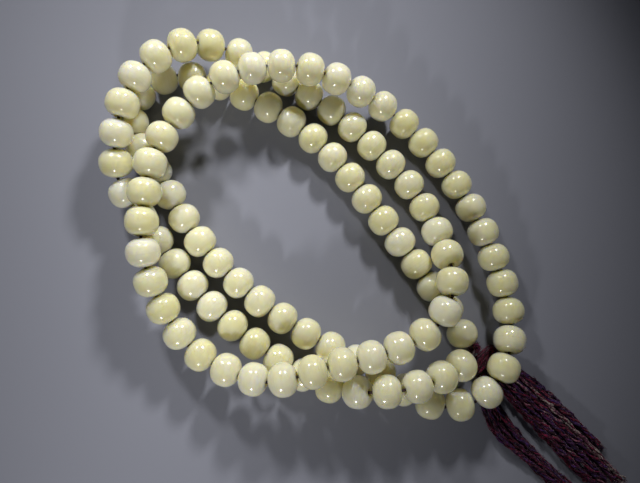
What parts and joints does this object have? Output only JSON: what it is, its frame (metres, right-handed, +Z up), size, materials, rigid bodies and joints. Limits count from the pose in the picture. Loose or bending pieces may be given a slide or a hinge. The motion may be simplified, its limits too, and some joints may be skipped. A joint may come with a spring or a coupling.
{
  "type": "misbaha prayer beads",
  "caption": "Long strand of barrel-shaped prayer beads lying in three turns, with a knotted plied yarn tassel, strung on a dark thread.",
  "frame": {"origin": "on the table, under the middle of the box around the beads", "axes": "+Z up from the table; +X to the right across the longest side of the laid strand; +Y away from the tassel"},
  "size_m": [0.196, 0.1736, 0.0246],
  "materials": {
    "bead": "glossy, slightly translucent cream",
    "thread": "dark waxed thread",
    "knot": "maroon yarn",
    "yarn_wide": "plied maroon and purple yarn",
    "yarn_side": "plied purple and dark blue yarn"
  },
  "bodies": {
    "strand": {"beads_1_to_12": "bead", "beads_13_to_24": "bead", "beads_25_to_37": "bead", "beads_47_to_48": "bead", "beads_75_to_86": "bead", "beads_94_to_101": "bead", "beads_102_to_109": "bead", "thread_lower": "thread", "knot": "knot", "binding": "knot"},
    "top_turn": {"thread_top_turn": "thread", "beads_62_to_66": "bead"},
    "side_arc": {"thread_side_arc": "thread"},
    "upper_arc": {"thread_upper_arc": "thread"},
    "tassel_wide": {"yarns_wide": "yarn_wide"},
    "tassel_side": {"yarns_side": "yarn_side"},
    "bead_38": {"bead_38": "bead"},
    "bead_39": {"bead_39": "bead"},
    "bead_40": {"bead_40": "bead"},
    "bead_41": {"bead_41": "bead"},
    "bead_42": {"bead_42": "bead"},
    "bead_43": {"bead_43": "bead"},
    "bead_44": {"bead_44": "bead"},
    "bead_45": {"bead_45": "bead"},
    "bead_46": {"bead_46": "bead"},
    "bead_49": {"bead_49": "bead"},
    "bead_50": {"bead_50": "bead"},
    "bead_51": {"bead_51": "bead"},
    "bead_52": {"bead_52": "bead"},
    "bead_53": {"bead_53": "bead"},
    "bead_54": {"bead_54": "bead"},
    "bead_55": {"bead_55": "bead"},
    "bead_56": {"bead_56": "bead"},
    "bead_57": {"bead_57": "bead"},
    "bead_58": {"bead_58": "bead"},
    "bead_59": {"bead_59": "bead"},
    "bead_60": {"bead_60": "bead"},
    "bead_61": {"bead_61": "bead"},
    "bead_67": {"bead_67": "bead"},
    "bead_68": {"bead_68": "bead"},
    "bead_69": {"bead_69": "bead"},
    "bead_70": {"bead_70": "bead"},
    "bead_71": {"bead_71": "bead"},
    "bead_72": {"bead_72": "bead"},
    "bead_73": {"bead_73": "bead"},
    "bead_74": {"bead_74": "bead"},
    "bead_87": {"bead_87": "bead"},
    "bead_88": {"bead_88": "bead"},
    "bead_89": {"bead_89": "bead"},
    "bead_90": {"bead_90": "bead"},
    "bead_91": {"bead_91": "bead"},
    "bead_92": {"bead_92": "bead"},
    "bead_93": {"bead_93": "bead"}
  },
  "joints": [
    {"name": "top_turn_lift", "type": "hinge", "parent": "strand", "child": "top_turn", "pos_m": [0.02974, 0.01742, 0.01456], "axis": [-0.4684, 0.8828, -0.0365], "range_deg": [0, 25]},
    {"name": "side_arc_lift", "type": "hinge", "parent": "strand", "child": "side_arc", "pos_m": [0.05125, 0.0022, 0.00708], "axis": [0.4681, -0.8837, 0.0058], "range_deg": [0, 25]},
    {"name": "upper_arc_lift", "type": "hinge", "parent": "strand", "child": "upper_arc", "pos_m": [-0.05431, 0.04087, 0.00951], "axis": [0.5762, 0.8164, -0.0392], "range_deg": [0, 15]},
    {"name": "tassel_wide_swing", "type": "hinge", "parent": "strand", "child": "tassel_wide", "pos_m": [0.06643, -0.0538, 0.002], "axis": [0, 0, 1], "range_deg": [0, 5]},
    {"name": "tassel_side_swing", "type": "hinge", "parent": "strand", "child": "tassel_side", "pos_m": [0.06643, -0.0538, 0.002], "axis": [0, 0, -1], "range_deg": [0, 5]},
    {"name": "bead_38_spin", "type": "hinge", "parent": "side_arc", "child": "bead_38", "pos_m": [0.07263, -0.03297, 0.00661], "axis": [-0.0404, 0.992, -0.1192], "continuous": true},
    {"name": "bead_39_spin", "type": "hinge", "parent": "side_arc", "child": "bead_39", "pos_m": [0.07096, -0.0225, 0.006], "axis": [-0.2686, 0.9633, 0], "continuous": true},
    {"name": "bead_40_spin", "type": "hinge", "parent": "side_arc", "child": "bead_40", "pos_m": [0.06783, -0.01256, 0.006], "axis": [-0.3305, 0.9438, 0], "continuous": true},
    {"name": "bead_41_spin", "type": "hinge", "parent": "side_arc", "child": "bead_41", "pos_m": [0.0641, -0.00283, 0.006], "axis": [-0.387, 0.9221, 0], "continuous": true},
    {"name": "bead_42_spin", "type": "hinge", "parent": "side_arc", "child": "bead_42", "pos_m": [0.0596, 0.00661, 0.006], "axis": [-0.4718, 0.8817, 0], "continuous": true},
    {"name": "bead_43_spin", "type": "hinge", "parent": "side_arc", "child": "bead_43", "pos_m": [0.05421, 0.01557, 0.006], "axis": [-0.5578, 0.83, 0], "continuous": true},
    {"name": "bead_44_spin", "type": "hinge", "parent": "side_arc", "child": "bead_44", "pos_m": [0.0481, 0.02401, 0.006], "axis": [-0.6144, 0.789, 0], "continuous": true},
    {"name": "bead_45_spin", "type": "hinge", "parent": "side_arc", "child": "bead_45", "pos_m": [0.04147, 0.03204, 0.006], "axis": [-0.6582, 0.7529, 0], "continuous": true},
    {"name": "bead_46_spin", "type": "hinge", "parent": "side_arc", "child": "bead_46", "pos_m": [0.03394, 0.0394, 0.00636], "axis": [-0.7673, 0.6375, 0.0705], "continuous": true},
    {"name": "bead_49_spin", "type": "hinge", "parent": "top_turn", "child": "bead_49", "pos_m": [0.00656, 0.0532, 0.01471], "axis": [-0.9216, 0.2542, 0.2932], "continuous": true},
    {"name": "bead_50_spin", "type": "hinge", "parent": "top_turn", "child": "bead_50", "pos_m": [-0.00339, 0.05534, 0.01731], "axis": [-0.9681, 0.1516, 0.1994], "continuous": true},
    {"name": "bead_51_spin", "type": "hinge", "parent": "top_turn", "child": "bead_51", "pos_m": [-0.01397, 0.05596, 0.01833], "axis": [-0.9995, -0.032, -0.0069], "continuous": true},
    {"name": "bead_52_spin", "type": "hinge", "parent": "top_turn", "child": "bead_52", "pos_m": [-0.02443, 0.05463, 0.01829], "axis": [-0.9748, -0.2229, 0.0047], "continuous": true},
    {"name": "bead_53_spin", "type": "hinge", "parent": "top_turn", "child": "bead_53", "pos_m": [-0.03443, 0.05115, 0.01811], "axis": [-0.9028, -0.4273, -0.0477], "continuous": true},
    {"name": "bead_54_spin", "type": "hinge", "parent": "top_turn", "child": "bead_54", "pos_m": [-0.04341, 0.04562, 0.01708], "axis": [-0.7763, -0.6155, -0.1362], "continuous": true},
    {"name": "bead_55_spin", "type": "hinge", "parent": "top_turn", "child": "bead_55", "pos_m": [-0.05066, 0.03782, 0.01631], "axis": [-0.5695, -0.8219, -0.01], "continuous": true},
    {"name": "bead_56_spin", "type": "hinge", "parent": "top_turn", "child": "bead_56", "pos_m": [-0.05607, 0.02875, 0.01707], "axis": [-0.4453, -0.8814, 0.1578], "continuous": true},
    {"name": "bead_57_spin", "type": "hinge", "parent": "top_turn", "child": "bead_57", "pos_m": [-0.0596, 0.0188, 0.01816], "axis": [-0.2181, -0.9757, 0.0203], "continuous": true},
    {"name": "bead_58_spin", "type": "hinge", "parent": "top_turn", "child": "bead_58", "pos_m": [-0.06113, 0.00841, 0.01829], "axis": [-0.0749, -0.9971, 0.0141], "continuous": true},
    {"name": "bead_59_spin", "type": "hinge", "parent": "top_turn", "child": "bead_59", "pos_m": [-0.06159, -0.002, 0.01852], "axis": [-0.0123, -0.9995, 0.0281], "continuous": true},
    {"name": "bead_60_spin", "type": "hinge", "parent": "top_turn", "child": "bead_60", "pos_m": [-0.06094, -0.01257, 0.01758], "axis": [0.1318, -0.9698, -0.2054], "continuous": true},
    {"name": "bead_61_spin", "type": "hinge", "parent": "top_turn", "child": "bead_61", "pos_m": [-0.05866, -0.02255, 0.01499], "axis": [0.2999, -0.9125, -0.2782], "continuous": true},
    {"name": "bead_67_spin", "type": "hinge", "parent": "top_turn", "child": "bead_67", "pos_m": [-0.01247, -0.05608, 0.0172], "axis": [0.9469, 0.203, 0.2495], "continuous": true},
    {"name": "bead_68_spin", "type": "hinge", "parent": "top_turn", "child": "bead_68", "pos_m": [-0.00228, -0.05334, 0.01849], "axis": [0.9554, 0.2955, -0.0009], "continuous": true},
    {"name": "bead_69_spin", "type": "hinge", "parent": "top_turn", "child": "bead_69", "pos_m": [0.00791, -0.05088, 0.01839], "axis": [0.9841, 0.1764, -0.0196], "continuous": true},
    {"name": "bead_70_spin", "type": "hinge", "parent": "top_turn", "child": "bead_70", "pos_m": [0.0181, -0.04861, 0.01796], "axis": [0.9641, 0.2581, -0.0618], "continuous": true},
    {"name": "bead_71_spin", "type": "hinge", "parent": "top_turn", "child": "bead_71", "pos_m": [0.02805, -0.04559, 0.01705], "axis": [0.9404, 0.3209, -0.1128], "continuous": true},
    {"name": "bead_72_spin", "type": "hinge", "parent": "top_turn", "child": "bead_72", "pos_m": [0.03761, -0.04103, 0.01635], "axis": [0.8436, 0.5369, -0.0131], "continuous": true},
    {"name": "bead_73_spin", "type": "hinge", "parent": "top_turn", "child": "bead_73", "pos_m": [0.04476, -0.03286, 0.01749], "axis": [0.4157, 0.8881, 0.1961], "continuous": true},
    {"name": "bead_74_spin", "type": "hinge", "parent": "top_turn", "child": "bead_74", "pos_m": [0.04762, -0.0224, 0.01735], "axis": [0.0785, 0.9713, -0.2246], "continuous": true},
    {"name": "bead_87_spin", "type": "hinge", "parent": "upper_arc", "child": "bead_87", "pos_m": [-0.04089, 0.06653, 0.01128], "axis": [-0.8478, -0.0909, 0.5225], "continuous": true},
    {"name": "bead_88_spin", "type": "hinge", "parent": "upper_arc", "child": "bead_88", "pos_m": [-0.05028, 0.06387, 0.01574], "axis": [-0.8727, -0.3963, 0.2852], "continuous": true},
    {"name": "bead_89_spin", "type": "hinge", "parent": "upper_arc", "child": "bead_89", "pos_m": [-0.05911, 0.05822, 0.01782], "axis": [-0.7561, -0.6464, 0.1025], "continuous": true},
    {"name": "bead_90_spin", "type": "hinge", "parent": "upper_arc", "child": "bead_90", "pos_m": [-0.06584, 0.04992, 0.01864], "axis": [-0.4755, -0.8783, 0.0493], "continuous": true},
    {"name": "bead_91_spin", "type": "hinge", "parent": "upper_arc", "child": "bead_91", "pos_m": [-0.06975, 0.04004, 0.01863], "axis": [-0.2573, -0.9649, -0.052], "continuous": true},
    {"name": "bead_92_spin", "type": "hinge", "parent": "upper_arc", "child": "bead_92", "pos_m": [-0.07211, 0.02986, 0.01675], "axis": [-0.1851, -0.9354, -0.3013], "continuous": true},
    {"name": "bead_93_spin", "type": "hinge", "parent": "upper_arc", "child": "bead_93", "pos_m": [-0.07298, 0.02, 0.01298], "axis": [0.0253, -0.9158, -0.4009], "continuous": true}
  ]
}
